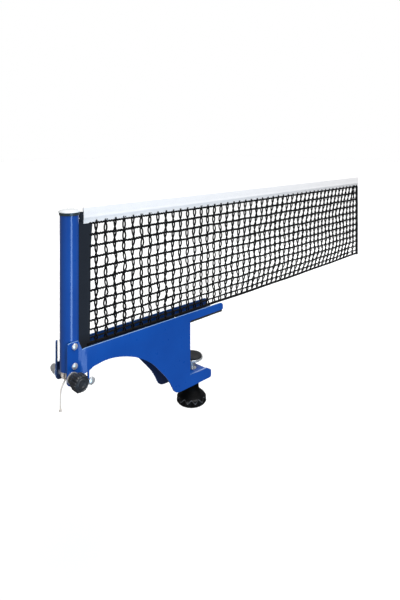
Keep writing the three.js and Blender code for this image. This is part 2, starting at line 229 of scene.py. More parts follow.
def moulded(name, dark, light, rough, grain=1400.0, depth=0.00005, **constants):
    """Moulded plastic or rubber: a fine sparked grain, with a little dust in it."""
    f = Finish(name, **constants)
    dust = (f.noise(90.0, 6.0, 0.65)).above(0.58, 0.25)
    f.set("Base Color", f.mix(dust * 0.6, dark, light))
    f.set("Roughness", f.noise(260.0, 4.0) * 0.2 + rough - 0.1)
    f.bump(f.noise(grain, 3.0, 0.6), depth)
    return f.material


def rim_polished(name, dark, light):
    """Matt black moulding; its rim is polished, and a paler line along the flutes' upper edge is a painted
    highlight.
    """
    f = Finish(name, Specular_IOR_Level=0.06, Coat_Roughness=0.2)
    x, y, z = f.parts(f.place())
    low, high = span("hand_wheel")
    x = x - (low[0] + high[0]) / 2 * MM
    reach = (x * x + y * y).math("SQRT")
    rim = reach.above(0.0172, 0.0016)
    flute = 0.5 - (y.math("ARCTAN2", x) * 12).math("COSINE") * 0.5
    crease_highlight = 1 - (z + 0.1008 - flute * 0.0034).size().above(0.00045, 0.0004)
    paint = f.mix(f.noise(90.0, 6.0).above(0.6, 0.2), dark, light)
    # The paler colour along the flutes' upper edge is a painted highlight.
    f.set("Base Color", f.mix(crease_highlight * f.noise(260.0, 2.0).above(0.42, 0.1), paint, rgb(0.075, 0.075, 0.08)))
    f.set("Roughness", 0.62 - rim * 0.3 + f.noise(300.0) * 0.06)
    f.set("Coat Weight", rim * 0.3)
    f.bump(f.noise(1500.0), 0.00003)
    return f.material


def blue_with_painted_shade(name, deep, light, shade_colour):
    """Inner enamel with painted shade: dark navy below the jaw and on the ear, where the inside lies in
    shade, and plain blue along the top.
    """
    f = Finish(name, Specular_IOR_Level=0.3)
    x, _, z = f.parts(f.place())
    # Where this mask is 0, low down and left of the post, the base colour is the painted shade colour.
    full = z.above(0.003, 0.01) * x.above(-0.19, 0.004)
    paint = f.mix(f.noise(22.0, 4.0).above(0.5, 0.5), deep, light)
    f.set("Base Color", f.mix(full, shade_colour, paint))
    f.set("Roughness", f.noise(150.0, 5.0) * 0.22 + 0.3)
    f.bump(f.noise(900.0, 2.0), 0.00005)
    return f.material


def woven(name, dark, light, pitch, depth, rough=0.85, sheen=0.06):
    """Plain weave: warp and weft threads of one pitch, in metres, pass over and under in turn."""
    f = Finish(name, Roughness=rough, Specular_IOR_Level=0.15, Sheen_Weight=sheen, Sheen_Roughness=0.5)
    u, v, _ = f.parts(f.cloth_place())
    warp = (u * (math.pi / pitch)).sine()
    weft = (v * (math.pi / pitch)).sine()
    over = warp * weft * 0.5 + 0.5
    height = warp.size() * over + weft.size() * (1 - over)
    # The base colour mixes random tone with the weave's height, so the hollows between threads get painted
    # shade.
    tone = f.noise(35.0, 5.0) * 0.5 + height * 0.5
    f.set("Base Color", f.mix(tone, dark, light))
    f.bump(height * 0.8 + f.noise(2500.0, 2.0) * 0.2, depth)
    return f.material


def twisted(name, dark, light, lay, depth, rough=0.8):
    """Laid or braided cord: strands cross the cord at a slant, once in every lay metres."""
    f = Finish(name, Roughness=rough, Specular_IOR_Level=0.12, Sheen_Weight=0.03)
    u, v, _ = f.parts(f.cloth_place())
    one = (u * (math.tau / lay) + v * (2 * math.tau)).sine()
    two = (u * (math.tau / lay) - v * (2 * math.tau)).sine()
    height = one * two * 0.5 + 0.5
    fuzz = f.noise(1800.0, 3.0)
    # The base colour follows the strands' height, so the grooves between strands get painted shade, with
    # random fuzz.
    f.set("Base Color", f.mix(height * 0.6 + fuzz * 0.4, dark, light))
    f.bump(height * 0.8 + fuzz * 0.2, depth)
    return f.material


# %% Finishes of this object
blue = enamel("blue enamel", rgb(0.001, 0.05, 0.27), rgb(0.002, 0.066, 0.33), 0.0)
post_blue = enamel("blue enamel of the post", rgb(0.001, 0.05, 0.27), rgb(0.002, 0.066, 0.33), 0.0, 0.8)
# The edge enamel's paler blue is a painted highlight along rounded edges, with a little rubbed wear.
blue_edge_highlight = enamel("blue enamel at the edges", rgb(0.14, 0.3, 0.6), rgb(0.3, 0.46, 0.72), 0.05)
# The inner enamel paints shade: dark navy inside the jaw and on the ear.
blue_inside_painted_shade = blue_with_painted_shade("enamel of the inner face", rgb(0.004, 0.045, 0.21), rgb(0.008, 0.06, 0.26),
                        rgb(0.008, 0.018, 0.06))
zinc = bright_metal("zinc plate", rgb(0.72, 0.73, 0.74), (60, 60, 2400))
zinc_edge = bright_metal("zinc plate at the edges", rgb(0.85, 0.86, 0.87), (300, 300, 300))
turned_steel = bright_metal("turned steel", rgb(0.78, 0.78, 0.79), (60, 2400, 60))
polished = bright_metal("polished steel", rgb(0.82, 0.83, 0.85), (30, 300, 30))
# The cap's skirt is dark plastic as painted shade; its top is pale plastic.
cap_skirt_painted_shade = moulded("cap plastic", rgb(0.02, 0.035, 0.04), rgb(0.07, 0.09, 0.1), 0.3)
lid_plastic = moulded("lid plastic", rgb(0.7, 0.72, 0.73), rgb(0.85, 0.86, 0.87), 0.25)
wheel_plastic = rim_polished("wheel plastic", rgb(0.001, 0.001, 0.0012), rgb(0.004, 0.004, 0.005))
knob_plastic = moulded("knob plastic", rgb(0.012, 0.014, 0.017), rgb(0.045, 0.048, 0.05), 0.42)
rubber = moulded("rubber", rgb(0.006, 0.006, 0.007), rgb(0.03, 0.03, 0.03), 0.85, 1100.0, 0.00012)
band_cloth = woven("band cloth", rgb(0.006, 0.008, 0.012), rgb(0.017, 0.022, 0.031), 0.0006, 0.00012)
tape_cloth = woven("tape cloth", rgb(0.74, 0.73, 0.73), rgb(0.94, 0.915, 0.905), 0.0005, 0.0001)
net_thread = twisted("net thread", rgb(0.0008, 0.0008, 0.001), rgb(0.006, 0.006, 0.0065), 0.0024, 0.0002)
white_cord = twisted("white cord", rgb(0.74, 0.64, 0.56), rgb(0.97, 0.88, 0.78), 0.003, 0.0002)


# %% [markdown]
# ## Making pieces
# Every piece ends the same way: its mesh is in place in the object's own frame, its object stays at
# the origin, it rides on a body, gets its finish, and the CAD nodes that it replaces are hidden.

# %% Piece helpers
def dress(piece, material, body, *nodes):
    """Gives a piece its finish and its body, and hides the CAD nodes that it stands for."""
    if not piece.data.materials:
        piece.data.materials.append(material)
    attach(piece, body)
    if nodes:
        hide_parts(*nodes)
    return piece


def new_object(name, mesh):
    piece = bpy.data.objects.new(name, mesh)
    bpy.context.collection.objects.link(piece)
    return piece


def new_piece(name, points, faces, uvs=None, smooth_angle=35):
    """A mesh object from points in millimetres; uvs holds one pair for each corner of each face."""
    mesh = bpy.data.meshes.new(name)
    mesh.from_pydata((np.asarray(points, dtype=float) * MM).tolist(), [], faces)
    if uvs is not None:
        layer = mesh.uv_layers.new(name="thread")
        layer.data.foreach_set("uv", np.asarray(uvs, dtype=float).ravel())
    mesh.shade_smooth()
    mesh.set_sharp_from_angle(angle=math.radians(smooth_angle))
    return new_object(name, mesh)


def round_edges(piece, width, edge_material=None, segments=2, angle=32):
    """Rounds a piece's sharp edges, and gives the new faces the edge finish if there is one."""
    bevel = piece.modifiers.new("rounded edges", "BEVEL")
    bevel.width = width * MM
    bevel.segments = segments
    bevel.limit_method = "ANGLE"
    bevel.angle_limit = math.radians(angle)
    bevel.harden_normals = True
    bevel.use_clamp_overlap = True
    if edge_material:
        piece.data.materials.append(edge_material)
        bevel.material = len(piece.data.materials) - 1
    return piece


def refine(node, material, body, width=0.2, edge_material=None):
    """A copy of a CAD solid with clean flat faces, rounded edges and smooth rounds."""
    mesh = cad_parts[node].data.copy()
    mesh.name = node + "_fine"
    mesh.materials.clear()
    shape = bmesh.new()
    shape.from_mesh(mesh)
    bmesh.ops.remove_doubles(shape, verts=shape.verts, dist=0.000002)
    bmesh.ops.dissolve_limit(shape, angle_limit=math.radians(1.0), verts=shape.verts, edges=shape.edges)
    shape.to_mesh(mesh)
    shape.free()
    mesh.materials.append(material)
    mesh.shade_smooth()
    mesh.set_sharp_from_angle(angle=math.radians(32))
    piece = new_object(node + "_fine", mesh)
    round_edges(piece, width, edge_material)
    return dress(piece, material, body, node)


# %% [markdown]
# ## Spun pieces
# A wheel, a knob or a nut is a profile spun round an axis. The profile is a closed loop of (radius,
# height) pairs, and a second function may push the radius in and out as it goes round, which makes
# the lobes of a hand wheel or the thread of a screw without any cutting.

# %% Spun pieces
def spun(name, profile, centre, axis="z", sides=96, shape=None, open_loop=False):
    """Spins a profile; shape(angle, radius, height) may change the radius at each point."""
    profile = np.asarray(profile, dtype=float)
    count = len(profile)
    angles = np.arange(sides) / sides * math.tau
    radius = np.tile(profile[:, 0], (sides, 1))
    height = np.tile(profile[:, 1], (sides, 1))
    turn = np.tile(angles[:, None], (1, count))
    if shape:
        radius = shape(turn, radius, height)
    across = radius * np.cos(turn)
    along = radius * np.sin(turn)
    if axis == "z":
        points = np.stack([across + centre[0], along + centre[1], height], axis=-1)
    else:
        points = np.stack([across + centre[0], -height, along + centre[1]], axis=-1)
    last = count - 1 if open_loop else count
    faces = []
    for i in range(sides):
        j = (i + 1) % sides
        for k in range(last):
            m = (k + 1) % count
            faces.append((i * count + k, j * count + k, j * count + m, i * count + m))
    if open_loop:
        faces.append(tuple(i * count for i in range(sides - 1, -1, -1)))
        faces.append(tuple(i * count + count - 1 for i in range(sides)))
    piece = new_piece(name, points.reshape(-1, 3), faces)
    outward(piece)
    return piece


def outward(piece):
    """Turns all faces of a closed mesh outwards."""
    shape = bmesh.new()
    shape.from_mesh(piece.data)
    bmesh.ops.recalc_face_normals(shape, faces=shape.faces)
    shape.to_mesh(piece.data)
    shape.free()


def eased(corners, radius, steps=4):
    """Rounds the corners of a closed outline of (a, b) points with quadratic curves."""
    done = []
    corners = [np.asarray(c, dtype=float) for c in corners]
    for i, here in enumerate(corners):
        before, after = corners[i - 1], corners[(i + 1) % len(corners)]
        reach_back = min(radius, 0.45 * np.linalg.norm(before - here))
        reach_on = min(radius, 0.45 * np.linalg.norm(after - here))
        start = here + (before - here) / np.linalg.norm(before - here) * reach_back
        end = here + (after - here) / np.linalg.norm(after - here) * reach_on
        for t in np.linspace(0, 1, steps + 1):
            done.append((1 - t) ** 2 * start + 2 * t * (1 - t) * here + t * t * end)
    return done


# %% [markdown]
# ## The bracket
# Both side plates are bent from thin sheet. Their outline is already right in CAD, so each is a
# refined copy: flat faces merged and edges rounded. The rounded edges and the upward top faces get a
# paler blue, a painted highlight with a little rubbed wear, and the faces inside the gap get painted shade.

# %% Bracket
for node in ("side_plate_front", "side_plate_back"):
    plate = refine(node, blue, "bracket", 0.4, blue_edge_highlight)
    plate.data.materials.append(blue_inside_painted_shade)
    inwards = -1 if node.endswith("back") else 1
    for face in plate.data.polygons:
        # Faces turned into the gap between the plates take the inner enamel with its painted shade.
        if face.normal.y * inwards > 0.4:
            face.material_index = 2
        # Upward faces high on the plates take the paler edge blue as a painted highlight.
        elif face.normal.z > 0.8 and face.center.z > -0.01:
            face.material_index = 1
# The jaw plates' rounded edges take the paler edge blue too, a painted highlight.
for node in ("upper_jaw_plate", "jaw_back_plate", "lower_jaw_plate"):
    refine(node, blue, "bracket", 0.2, blue_edge_highlight)
refine("upper_jaw_pad", rubber, "bracket", 0.4)
refine("threaded_bush", zinc, "bracket", 0.2, zinc_edge)
for node in ("rivet_lower", "rivet_upper"):
    refine(node, polished, "bracket", 0.12)
refine("lug_screw", polished, "bracket", 0.15)
for node in ("washer_front", "washer_back"):
    refine(node, turned_steel, "spindle", 0.15)
refine("tension_spindle", turned_steel, "spindle", 0.3)
refine("dome_nut", turned_steel, "spindle", 0.25)
refine("pressure_cup", zinc, "pressure_foot", 0.2, zinc_edge)
refine("pressure_pad", rubber, "pressure_foot", 0.3)
refine("screw_clip", zinc, "screw", 0.1)

# %% Post
post_low, post_high = span("post_tube")
tube_r = (post_high[1] - post_low[1]) / 2
POST_X = post_low[0] + tube_r
TUBE_WALL = 1.5
SLOT_HALF = 2.5


def slotted_ring(steps=80):
    """The tube's section: almost a full ring, open towards the net."""
    loop = []
    for radius, way in ((tube_r, 1), (tube_r - TUBE_WALL, -1)):
        gap = math.asin(SLOT_HALF / radius)
        turns = np.linspace(gap, math.tau - gap, steps)[::way]
        loop += [(POST_X + radius * math.cos(a), radius * math.sin(a)) for a in turns]
    return loop


def upright_prism(name, loop, low, high):
    """A loop that doubles back on itself, pushed straight up; its ends are closed by quads."""
    count = len(loop)
    points = [(x, y, z) for z in (low, high) for x, y in loop]
    faces = [(i, (i + 1) % count, count + (i + 1) % count, count + i) for i in range(count)]
    half = count // 2
    for base in (0, count):
        for i in range(half - 1):
            faces.append((base + i, base + i + 1, base + count - 2 - i, base + count - 1 - i))
    piece = new_piece(name, points, faces, smooth_angle=30)
    outward(piece)
    return piece


post = upright_prism("post_tube_fine", slotted_ring(), post_low[2], post_high[2])
post.data.materials.append(post_blue)
# The post's rounded edges take the paler edge blue, a painted highlight.
round_edges(post, 0.25, blue_edge_highlight, angle=40)
dress(post, post_blue, "bracket", "post_tube")

cap_low, cap_high = span("post_cap")
cap_r = (cap_high[0] - cap_low[0]) / 2
lid = cap_high[2]
LID_DEPTH = 2.6
cap_profile = [
    (0.01, lid + 1.2), (3.8, lid + 1.0), (7.2, lid + 0.4), (9.2, lid - 0.4), (10.3, lid - 1.2),
    (cap_r, lid - 2.0), (cap_r, lid - 2.5), (10.2, lid - 2.8), (10.1, cap_low[2] + 0.4),
    (9.9, cap_low[2]), (9.75, cap_low[2]),
    (9.7, post_high[2] + 0.3), (0.01, post_high[2] + 0.3),
]
cap = spun("post_cap_fine", cap_profile, (POST_X, 0), open_loop=True)
# The skirt below the top keeps the dark plastic, a painted shade; the top is the cap's pale plastic.
cap.data.materials.append(cap_skirt_painted_shade)
cap.data.materials.append(lid_plastic)
for face in cap.data.polygons:
    if face.center.z > (lid - LID_DEPTH) * MM:
        face.material_index = 1
dress(cap, cap_skirt_painted_shade, "bracket", "post_cap")
print("post radius", round(tube_r, 2), "mm, cap radius", round(cap_r, 2), "mm")

# %% [markdown]
# ## The clamp screw and its hand wheel
# The wheel is one moulding: a neck, a cone and a rim with twelve finger flutes. The screw's thread
# is a cylinder whose radius follows a wave that climbs as it goes round, which is what a thread is.

# %% Hand wheel and screw
wheel_low, wheel_high = span("hand_wheel")
screw_low, screw_high = span("clamp_screw")
SCREW_X = (wheel_low[0] + wheel_high[0]) / 2
WHEEL_R = (wheel_high[1] - wheel_low[1]) / 2
wheel_foot, wheel_top = wheel_low[2], wheel_high[2] - 0.3
FLUTES = 12
FLUTE_DEPTH = 1.9


def flutes(turn, radius, height):
    """Finger flutes, cut straight up through the rim, so the cone's edge becomes a wavy line."""
    rim = WHEEL_R - FLUTE_DEPTH * (0.5 - 0.5 * np.cos(FLUTES * turn)) ** 0.8
    return np.minimum(radius, rim)


wheel_profile = eased([
    (4.1, wheel_top), (8.2, wheel_top), (9.0, wheel_top - 1), (9.2, -89.2), (12.2, -92.8), (15.6, -95.4),
    (17.8, -98.0), (WHEEL_R + 0.3, -101.2), (WHEEL_R - 0.2, -103.8), (WHEEL_R - 2.2, -106.3),
    (WHEEL_R - 5.2, -107.9), (11.4, wheel_foot), (9.2, wheel_foot), (8.4, -106.9), (8.2, -100.9),
    (4.1, -100.9),
], 1.2, 10)
print("room over the wheel:", round(span("threaded_bush")[0][2] - wheel_top, 2), "mm")
wheel = spun("hand_wheel_fine", wheel_profile, (SCREW_X, 0), shape=flutes, sides=240)
dress(wheel, wheel_plastic, "screw", "hand_wheel")

PITCH = 1.25
SHANK_R = 3.8
neck = screw_high[2] - 4.0


def thread(turn, radius, height):
    """A right-hand thread: the crest climbs by one pitch in each turn."""
    phase = (height / PITCH - turn / math.tau) % 1.0
    groove = np.clip(np.abs(phase - 0.5) * 2 * 1.25 - 0.12, 0, 1)
    cut = (radius > SHANK_R - 0.01) & (height > -99) & (height < neck - 1.0)
    return radius - np.where(cut, 0.62 * groove, 0)


shank_foot = screw_low[2] + 1
shank = [(0.02, shank_foot)] + [(SHANK_R, z) for z in np.arange(shank_foot, neck - 0.4, PITCH / 8)]
tip = [(3.5, neck), (3.0, neck), (3.0, screw_high[2] - 0.3), (2.7, screw_high[2]), (0.02, screw_high[2])]
screw = spun("clamp_screw_thread", shank + tip, (SCREW_X, 0), sides=40, shape=thread, open_loop=True)
dress(screw, zinc, "screw", "clamp_screw")


def hex_head(name, centre, across_flats, low, high):
    """A six-sided head, its corners turned off on the outer side."""
    corner = across_flats / 2 / math.cos(math.pi / 6)
    loop = [(corner * math.cos(i * math.pi / 3), corner * math.sin(i * math.pi / 3)) for i in range(6)]
    points = [(centre[0] + s * x, centre[1] + s * y, z) for z, s in ((high, 1), (low + 0.8, 1), (low, 0.9))
              for x, y in loop]
    faces = [(r * 6 + i, r * 6 + (i + 1) % 6, r * 6 + 6 + (i + 1) % 6, r * 6 + 6 + i)
             for r in range(2) for i in range(6)]
    faces += [tuple(range(6)), tuple(range(17, 11, -1))]
    piece = new_piece(name, points, faces, smooth_angle=20)
    outward(piece)
    return piece


head = hex_head("clamp_screw_head", (SCREW_X, 0), 13.0, screw_low[2], screw_low[2] + 5.3)
round_edges(head, 0.25)
dress(head, zinc, "screw")

# %% [markdown]
# ## The tension knob
# The knob has six soft lobes for the fingers and fine ribs between them, so the same spin makes it
# with two waves added together. It turns on the spindle's axis, which runs along Y.

# %% Tension knob
knob_low, knob_high = span("tension_knob")
SPINDLE_X = sum(span("tension_spindle")[i][0] for i in (0, 1)) / 2
SPINDLE_Z = sum(span("tension_spindle")[i][2] for i in (0, 1)) / 2
knob_back, knob_front = -knob_high[1], -knob_low[1]
KNOB_R = 8.85


def knob_lobes(turn, radius, height):
    """Six hollows between the lobes, and eighteen grooves between the ribs."""
    grip = np.clip((radius - 7.0) / 1.2, 0, 1)
    lobes = 0.8 * (0.5 - 0.5 * np.cos(6 * turn)) ** 1.6
    ribs = 0.8 * (0.5 - 0.5 * np.cos(18 * turn)) ** 2
    return radius - grip * (lobes + ribs)


knob_profile = eased([
    (0.02, knob_back + 0.1), (5.5, knob_back + 0.1), (5.5, knob_front - 10.2),
    (KNOB_R - 0.6, knob_front - 10.3), (KNOB_R, knob_front - 9.2), (KNOB_R, knob_front - 1.7),
    (KNOB_R - 1.3, knob_front - 0.3),
    (6.6, knob_front - 0.05), (6.2, knob_front - 0.8), (5.2, knob_front - 0.8), (4.8, knob_front - 0.1),
    (3.5, knob_front - 0.1), (3.1, knob_front - 1.2), (0.02, knob_front - 1.2),
], 0.5)
knob = spun("tension_knob_fine", knob_profile, (SPINDLE_X, SPINDLE_Z), axis="y", shape=knob_lobes, sides=360)
dress(knob, knob_plastic, "spindle", "tension_knob")


# %% [markdown]
# ## Folded strips of cloth
# The tape and the bands are flat strips, folded over and sewn. One function makes them all:
# at each station along the strip a section says where the cloth's middle runs, and the cloth gets its
# thickness on both sides of that line. The UV map holds the cloth's own length and width in metres.

# %% Folded strips
def folded_strip(name, stations, section, thickness, place):
    """Sweeps a section; section(s) gives (a, b) points, and place(s, a, b) gives x, y, z."""
    rings, widths = [], []
    for s in stations:
        middle = np.asarray(section(s), dtype=float)
        way = np.gradient(middle, axis=0)
        way /= np.linalg.norm(way, axis=1)[:, None]
        side = np.stack([-way[:, 1], way[:, 0]], axis=1) * thickness / 2
        rings.append(np.concatenate([middle + side, (middle - side)[::-1]]))
        steps = np.linalg.norm(np.diff(middle, axis=0), axis=1)
        run = np.concatenate([[0], np.cumsum(steps)]) * MM
        widths.append(np.concatenate([run, run[::-1]]))
    count = len(rings[0])
    points = [place(s, a, b) for s, ring in zip(stations, rings) for a, b in ring]
    faces, uvs = [], []
    for i in range(len(stations) - 1):
        u0, u1 = stations[i] * MM, stations[i + 1] * MM
        for k in range(count):
            m = (k + 1) % count
            faces.append((i * count + k, i * count + m, (i + 1) * count + m, (i + 1) * count + k))
            uvs += [(u0, widths[i][k]), (u0, widths[i][m]), (u1, widths[i + 1][m]), (u1, widths[i + 1][k])]
    half = count // 2
    for i in (0, len(stations) - 1):
        for k in range(half - 1):
            corners = (k, k + 1, count - 2 - k, count - 1 - k)
            faces.append(tuple(i * count + c for c in corners))
            uvs += [(stations[i] * MM, widths[i][c]) for c in corners]
    piece = new_piece(name, points, faces, uvs, smooth_angle=60)
    outward(piece)
    return piece, max(w.max() for w in widths)


# %% Tape
tape_low, tape_high = span("net_tape")
cord_z = span("tension_cord")[1][2] - 0.85
TAPE_SHEET = 0.6


def tape_section(s):
    """Up the front, over the fold at the top and down the back, with a ridge where the cord runs.

    The lower part tucks back under the ridge, and more so far from the post.
    """
    low, top = tape_low[2], tape_high[2] - TAPE_SHEET / 2
    up = np.linspace(low, top - 0.9, 26)
    ridge = 0.25 * np.exp(-(((up - cord_z) / 1.5) ** 2))
    swell = 0.25 * np.sin(np.pi * (up - low) / (top - low))
    half = 0.5 + ridge + swell
    far = (s - tape_low[0]) / (tape_high[0] - tape_low[0])
    tuck = (0.4 + far) * np.clip((cord_z - 1 - up) / 9, 0, 1)
    front = np.stack([tuck - half, up], axis=1)
    over = [(-0.62 * math.cos(a), top - 0.9 + 0.9 * math.sin(a)) for a in np.linspace(0.3, math.pi - 0.3, 9)]
    back = np.stack([half + tuck, up], axis=1)[::-1]
    return np.concatenate([front, over, back])


def along_x(s, a, b):
    """Stands a section across the net at s."""
    return (s, a, b)


tape_stations = np.arange(tape_low[0], tape_high[0] + 0.1, (tape_high[0] - tape_low[0]) / 200)
tape, tape_width = folded_strip("net_tape_cloth", tape_stations, tape_section, TAPE_SHEET, along_x)
dress(tape, tape_cloth, "bracket", "net_tape")

# %% Side bands
band_low, band_high = span("net_side_band")
rod_low, rod_high = span("net_rod")
ROD_X = (rod_low[0] + rod_high[0]) / 2
BAND_SHEET = 0.7
OPEN_EDGE = 0.42


def hairpin(turn_x, turn_r, edge_x, gap=OPEN_EDGE):
    """From the open edge to the fold, round it, and back along the other face."""
    way = math.copysign(1, edge_x - turn_x)
    slant = math.acos(min(1, gap / turn_r))
    turns = np.linspace(-math.pi / 2 + slant, -math.tau + math.pi / 2 - slant, 25)
    loop = [(turn_x + way * turn_r * math.cos(a), turn_r * math.sin(a)) for a in turns]
    run = np.linspace(0, 1, 12)[:-1, None]
    edge = np.array([[edge_x, -gap]])
    start = edge + (np.array([loop[0]]) - edge) * run
    return np.concatenate([start, loop, (start * (1, -1))[::-1]])


def near_band_section(z):
    """Folded round the rod; narrow at the foot and beside the cap, and cut back under the tape."""
    fold_x, fold_r = ROD_X, 2.72
    gap = OPEN_EDGE
    if z < rod_low[2]:
        fold_x, fold_r = POST_X + tube_r + 1.2, 0.5
    elif z > cord_z - 2.4:
        fold_x, fold_r, gap = POST_X + cap_r + 1.9, 1.3, 1.29
    if z > tape_low[2] - 0.2:
        edge = tape_low[0] - 0.4
    else:
        narrowing = 2.2 * min(1, max(0, (134 - z) / 38)) ** 0.8 + min(1, max(0, (60 - z) / 50))
        edge = band_high[0] + 2.9 - narrowing
    return hairpin(fold_x, fold_r, edge, gap)


def near_band_place(s, a, b):
    """Stands a section upright at height s, with a faint ripple."""
    return (a, b + 0.12 * math.sin(s / 7.0) * math.sin(a / 3.1), s)


steps = [band_low[2], 10, 12, 15, 18, rod_low[2] - 0.1, rod_low[2] + 0.1, *np.arange(22, 134, 3),
         tape_low[2] - 0.5, tape_low[2] - 0.1, 137, 139, cord_z - 2.2, 141, 143, 145, band_high[2]]
near_band, near_width = folded_strip(
    "net_side_band_cloth", steps, near_band_section, BAND_SHEET, near_band_place)
dress(near_band, band_cloth, "bracket", "net_side_band")

far_low, far_high = span("net_far_band")
far_steps = np.linspace(far_low[2], far_high[2], 44)


def far_band_section(z):
    return hairpin(far_high[0] - 0.75, 0.7, far_low[0])


far_band, far_width = folded_strip("net_far_band_cloth", far_steps, far_band_section, 0.6, near_band_place)
dress(far_band, band_cloth, "bracket", "net_far_band")
refine("net_rod", turned_steel, "bracket", 0.4)
print("cloth widths (mm):", [round(w / MM, 1) for w in (tape_width, near_width, far_width)])

# %% [markdown]
# ## Cords
# The white cord runs in the tape, down inside the post and three times round the spindle. What is
# left hangs free: a short tail, straight down under its own weight, with a knot at its end.

# %% Cords
CORD_R = 0.85


def cord_piece(name, route, material, radius=CORD_R):
    """A round cord as a curve of one open spline through a list of points in millimetres."""
    curve = bpy.data.curves.new(name, "CURVE")
    curve.dimensions = "3D"
    curve.bevel_depth = radius * MM
    curve.bevel_resolution = 3
    curve.resolution_u = 6
    curve.use_fill_caps = True
    spline = curve.splines.new("NURBS")
    spline.points.add(len(route) - 1)
    for point, (x, y, z) in zip(spline.points, route):
        point.co = (x * MM, y * MM, z * MM, 1)
    spline.order_u = 3
    spline.use_endpoint_u = True
    curve.materials.append(material)
    return new_object(name, curve)


TAIL = [
    (-190.9, 1.6, -19.8), (-191.5, 1.9, -21.2), (-192.7, 2.4, -23.4), (-193.8, 3, -26.4),
    (-194.5, 3.5, -30),
    (-194.8, 3.8, -34), (-194.8, 4, -38), (-194.7, 4.1, -42), (-194.7, 4.1, -44.5), (-194.7, 4.1, -47.2),
]
tail = cord_piece("cord_tail_braid", TAIL, white_cord)
dress(tail, white_cord, "bracket", "cord_tail")

drop_x = -191.0
route = [
    (tape_high[0] - 2, 0, cord_z), (200, 0, cord_z), (-100, 0, cord_z), (-176, 0, cord_z),
    (-187.2, 0, cord_z), (-189.8, 0, 140.9), (-190.8, 0, 139.0), (drop_x, 0, 136), (drop_x, 0, 70),
    (drop_x, 0, 10),
    (drop_x, 0, -4), (-190.6, 0, -8.1),
]
long_cord = cord_piece("tension_cord_braid", route, white_cord)
dress(long_cord, white_cord, "bracket", "tension_cord")

WIND_R = 3.3 + CORD_R
WIND_WIDTH = 3.3
turns = np.linspace(0, 3 * math.tau, 73)
coil = []
for a in turns:
    along = (a / (3 * math.tau) - 0.5) * WIND_WIDTH
    coil.append((SPINDLE_X + WIND_R * math.cos(a), along, SPINDLE_Z + WIND_R * math.sin(a)))
winding = cord_piece("cord_winding_braid", coil, white_cord)
dress(winding, white_cord, "spindle", "cord_winding")

bottom_low, bottom_high = span("net_bottom_cord")
BOTTOM_Z = (bottom_low[2] + bottom_high[2]) / 2


def bottom_height(x):
    """The black cord along the net's lower edge hangs in a slow curve."""
    share = (x - bottom_low[0]) / (bottom_high[0] - bottom_low[0])
    return BOTTOM_Z + 0.9 - 2.2 * math.sin(math.pi * min(1, max(0, share))) + 0.2 * math.sin(x / 19)


bottom_route = [(x, 0, bottom_height(x)) for x in np.linspace(bottom_low[0] - 4.0, bottom_high[0] + 0.2, 60)]
bottom_cord = cord_piece("net_bottom_cord_braid", bottom_route, net_thread, 1.6)
dress(bottom_cord, net_thread, "bracket", "net_bottom_cord")

knot_low, knot_high = span("cord_end_knot")
knot_mid = [(a + b) / 2 for a, b in zip(knot_low, knot_high)]
knot_turns = np.linspace(0, math.tau, 30)[:-1]
knot_route = []
for a in knot_turns:
    across = 0.85 * math.sin(a) * (1 if a < math.pi else 0.9)
    knot_route.append((knot_mid[0] + across, knot_mid[1] + 0.8 * math.sin(2 * a),
                       knot_mid[2] + 1.2 * math.cos(a)))
end_knot = cord_piece("cord_end_knot_braid", knot_route, white_cord)
end_knot.data.splines[0].use_cyclic_u = True
dress(end_knot, white_cord, "bracket", "cord_end_knot")

# %% [markdown]
# ## Knitting the net with Geometry Nodes
# A table tennis net is knitted: pairs of threads run up it and twist round a crosswise cord at every
# row, leaving an eye between two rows. One tree makes a column and repeats it, another makes a row
# and repeats it. Both end in Realize Instances, because an export keeps only real geometry.

# %% Geometry Nodes helpers
class GeometryTree(Tree):
    """A Geometry Nodes tree with named inputs."""

    def __init__(self, name, **defaults):
        super().__init__(bpy.data.node_groups.new(name, "GeometryNodeTree"))
        self.nodes.interface.new_socket("Geometry", in_out="OUTPUT", socket_type="NodeSocketGeometry")
        self.identifiers = {}
        kinds = {int: "NodeSocketInt", float: "NodeSocketFloat", tuple: "NodeSocketVector"}
        for key, value in defaults.items():
            socket = self.nodes.interface.new_socket(key, in_out="INPUT", socket_type=kinds[type(value)])
            socket.default_value = value
            self.identifiers[key] = socket.identifier
        self.entry = self.nodes.nodes.new("NodeGroupInput")
        self.leave = self.nodes.nodes.new("NodeGroupOutput")

    def given(self, key):
        return Link(self, self.entry.outputs[key])

    def vector(self, x=0.0, y=0.0, z=0.0):
        return self.node("ShaderNodeCombineXYZ", {}, {0: x, 1: y, 2: z})[0]

    def finish(self, geometry, material):
        real = self.node("GeometryNodeRealizeInstances", {}, {0: geometry})[0]
        done = self.node("GeometryNodeSetMaterial", {}, {0: real, "Material": material})[0]
        self.nodes.links.new(done.socket, self.leave.inputs[0])


def grown(name, tree, **values):
    """Runs a tree with the given inputs, and returns the result as a plain mesh object."""
    seed = new_object(name + "_seed", bpy.data.meshes.new(name + "_seed"))
    modifier = seed.modifiers.new(name, "NODES")
    modifier.node_group = tree.nodes
    for key, value in values.items():
        modifier[tree.identifiers[key]] = value
    graph = bpy.context.evaluated_depsgraph_get()
    mesh = bpy.data.meshes.new_from_object(seed.evaluated_get(graph))
    mesh.name = name
    bpy.data.objects.remove(seed)
    mesh.shade_smooth()
    return new_object(name, mesh)


def swept(tree, curve, radius, sides):
    """A round thread along a curve."""
    ring = tree.node("GeometryNodeCurvePrimitiveCircle", {}, {"Resolution": sides, "Radius": radius})[0]
    return tree.node("GeometryNodeCurveToMesh", {}, {"Curve": curve, "Profile Curve": ring})[0]


# %% Net columns and rows
mesh_low, mesh_high = span("net_mesh")
ROWS = 12
COLUMNS = 48
NET_LOW = BOTTOM_Z
NET_HIGH = tape_low[2] - 0.5
ROW_PITCH = (NET_HIGH - NET_LOW) / ROWS
COLUMN_PITCH = (mesh_high[0] - mesh_low[0]) / (COLUMNS - 0.4)
FORK = 3.0


